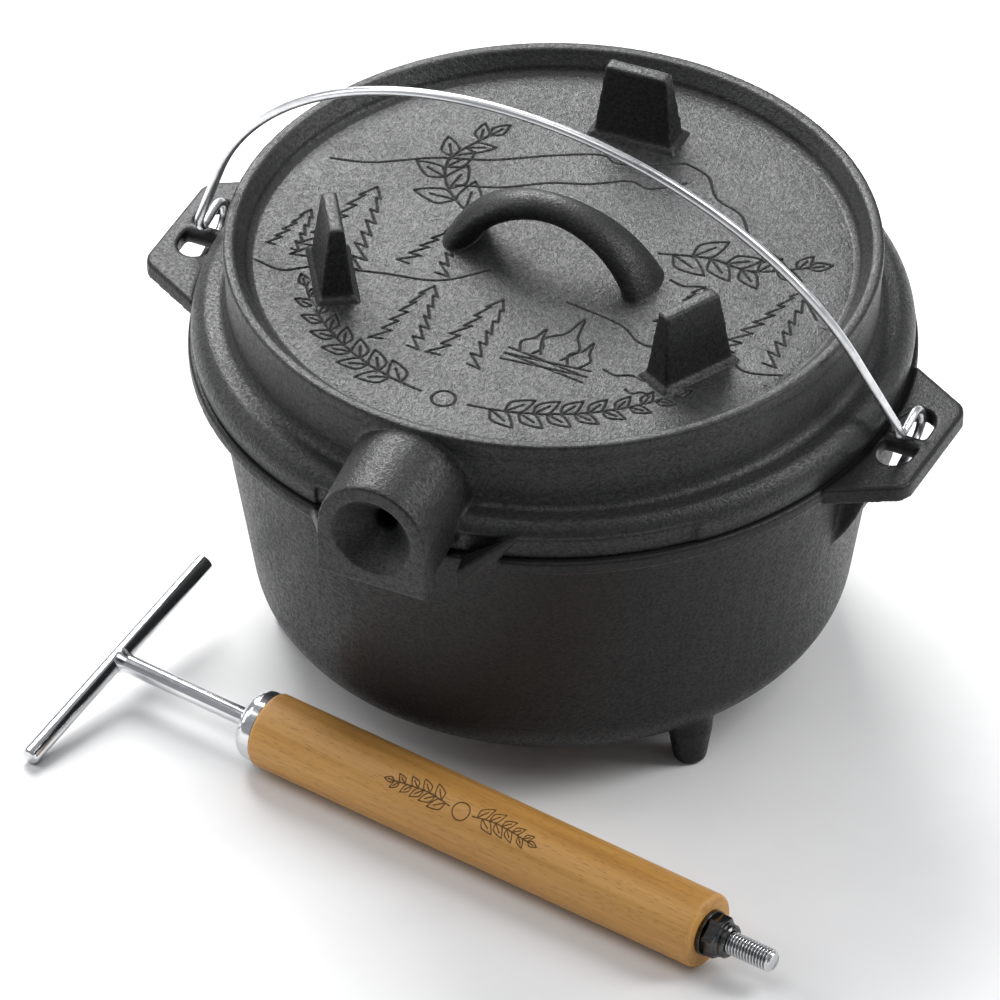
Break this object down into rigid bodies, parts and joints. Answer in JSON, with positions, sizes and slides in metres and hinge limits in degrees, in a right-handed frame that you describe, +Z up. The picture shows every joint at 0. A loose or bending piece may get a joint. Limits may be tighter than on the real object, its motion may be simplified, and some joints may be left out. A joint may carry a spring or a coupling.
{
  "type": "cast iron dutch oven",
  "caption": "Footed cast iron pot with a tray-top lid that stands on its own feet, a swinging wire bail, and a wooden-gripped lifter whose stud screws into the lid's conical socket.",
  "frame": {"origin": "on the pot's axis, on the surface the feet stand on", "axes": "+Z up, X through the two ears and along the bail's hinge line, -Y towards the lid's lifter socket"},
  "size_m": [0.3655, 0.3452, 0.2982],
  "materials": {
    "iron": "matte seasoned casting",
    "plated": "bright plated wire and bar",
    "dark_steel": "dark steel fastener",
    "beech": "oiled turned beech"
  },
  "bodies": {
    "pot": {"pot": "iron"},
    "lid": {"lid": "iron"},
    "bail": {"bail": "plated"},
    "lifter": {"lifter_crossbar": "plated", "lifter_rod": "plated", "lifter_ferrule": "plated", "lifter_grip": "beech", "lifter_washer": "dark_steel", "lifter_nut": "dark_steel"}
  },
  "joints": [
    {"name": "bail_swing", "type": "hinge", "parent": "pot", "child": "bail", "pos_m": [0, 0, 0.14625], "axis": [1, 0, 0], "range_deg": [-95, 45]},
    {"name": "lid_lift", "type": "slide", "parent": "pot", "child": "lid", "axis": [0, 0, 1], "range_m": [0, 0.015]},
    {"name": "lifter_lift", "type": "slide", "parent": "pot", "child": "lifter", "axis": [0, 0, 1], "range_m": [0, 0.03]}
  ]
}
